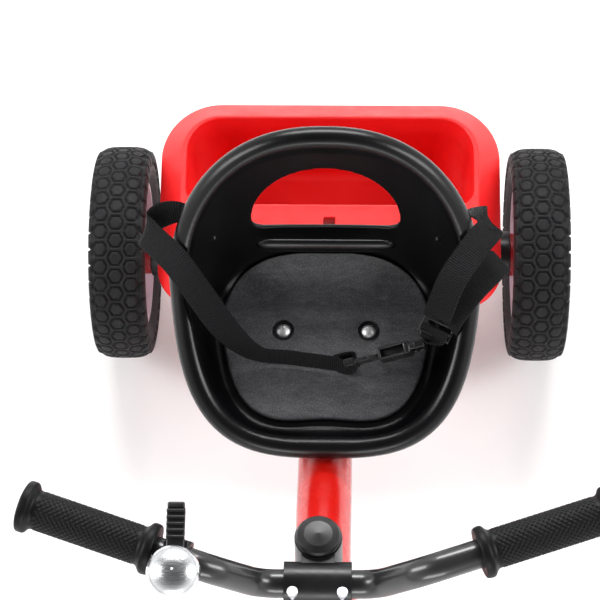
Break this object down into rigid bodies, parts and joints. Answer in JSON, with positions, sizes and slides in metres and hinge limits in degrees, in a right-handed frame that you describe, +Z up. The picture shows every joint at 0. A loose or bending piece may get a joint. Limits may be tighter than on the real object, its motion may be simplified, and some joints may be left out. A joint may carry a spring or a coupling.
{
  "type": "pedal tricycle",
  "caption": "Child's pedal tricycle with a bucket seat, lap belt, rear storage bin, foam tyres, direct-drive pedals and a steered front wheel.",
  "frame": {"origin": "on the floor, under the middle of the tricycle's bounding box", "axes": "+X to the rider's left, -Y forward, +Z up"},
  "size_m": [0.467, 0.751, 0.6012],
  "materials": {
    "red_paint": "gloss powder coat",
    "black_plastic": "fine satin",
    "zinc_steel": "zinc plated",
    "chrome": "polished",
    "seat_plastic": "satin moulded",
    "pad_grey": "grained soft foam skin",
    "webbing": "ribbed woven polypropylene",
    "bin_red": "satin moulded",
    "hub_red": "satin moulded",
    "black_paint": "gloss powder coat",
    "grip_rubber": "knurled",
    "tyre_foam": "moulded foam with a honeycomb tread",
    "rim_plastic": "satin",
    "pedal_plastic": "moulded",
    "reflector": "prismatic"
  },
  "bodies": {
    "frame": {"main_tube": "red_paint", "rear_cross_tube": "red_paint", "head_tube": "red_paint", "seat_bracket": "red_paint", "bin_brackets": "red_paint", "upper_head_bush": "black_plastic", "lower_head_bush": "black_plastic", "rear_axle": "zinc_steel", "axle_bush_left": "black_plastic", "axle_bush_right": "black_plastic", "axle_nuts": "zinc_steel", "seat_shell": "seat_plastic", "seat_pad": "pad_grey", "seat_washers": "black_plastic", "seat_bolts": "chrome", "seat_nuts": "zinc_steel", "belt_left": "webbing", "belt_right": "webbing", "belt_tail": "webbing", "belt_adjuster": "black_plastic", "buckle_plug": "black_plastic", "buckle_socket": "black_plastic", "belt_screws": "black_paint", "bin": "bin_red", "bin_screws": "zinc_steel"},
    "steering": {"fork": "red_paint", "steering_column": "black_paint", "fork_bush_left": "black_plastic", "fork_bush_right": "black_plastic", "mudguard": "red_paint", "mudguard_screw": "zinc_steel", "stem": "black_plastic", "stem_cap": "black_plastic", "stem_bolts": "zinc_steel", "handlebar": "black_paint", "grip_left": "grip_rubber", "grip_right": "grip_rubber", "bell_base": "black_plastic", "bell_dome": "chrome"},
    "bell_lever": {"bell_lever": "black_plastic"},
    "front_wheel": {"front_tyre": "tyre_foam", "front_rim": "rim_plastic", "crank_axle": "zinc_steel", "crank_left": "black_paint", "crank_right": "black_paint", "pedal_pin_left": "zinc_steel", "pedal_pin_right": "zinc_steel"},
    "pedal_left": {"pedal_left": "pedal_plastic", "pedal_reflectors_left": "reflector"},
    "pedal_right": {"pedal_right": "pedal_plastic", "pedal_reflectors_right": "reflector"},
    "rear_wheel_left": {"rear_tyre_left": "tyre_foam", "rear_rim_left": "rim_plastic", "rear_hub_left": "hub_red", "hub_cap_left": "hub_red"},
    "rear_wheel_right": {"rear_tyre_right": "tyre_foam", "rear_rim_right": "rim_plastic", "rear_hub_right": "hub_red", "hub_cap_right": "hub_red"}
  },
  "joints": [
    {"name": "steering_turn", "type": "hinge", "parent": "frame", "child": "steering", "pos_m": [0, -0.18338, 0.36182], "axis": [0, 0.2588, 0.9659], "range_deg": [-40, 40]},
    {"name": "front_wheel_spin", "type": "hinge", "parent": "steering", "child": "front_wheel", "pos_m": [0, -0.2455, 0.13], "axis": [1, 0, 0], "continuous": true},
    {"name": "pedal_left_spin", "type": "hinge", "parent": "front_wheel", "child": "pedal_left", "pos_m": [0, -0.3105, 0.13], "axis": [1, 0, 0], "continuous": true},
    {"name": "pedal_right_spin", "type": "hinge", "parent": "front_wheel", "child": "pedal_right", "pos_m": [0, -0.1805, 0.13], "axis": [1, 0, 0], "continuous": true},
    {"name": "rear_wheel_left_spin", "type": "hinge", "parent": "frame", "child": "rear_wheel_left", "pos_m": [0.203, 0.2445, 0.105], "axis": [1, 0, 0], "continuous": true},
    {"name": "rear_wheel_right_spin", "type": "hinge", "parent": "frame", "child": "rear_wheel_right", "pos_m": [-0.203, 0.2445, 0.105], "axis": [1, 0, 0], "continuous": true},
    {"name": "bell_lever_push", "type": "hinge", "parent": "steering", "child": "bell_lever", "pos_m": [-0.10476, -0.16987, 0.56], "axis": [0, 0, -1], "range_deg": [0, 25], "stiffness_Nm_per_rad": 0.05}
  ]
}
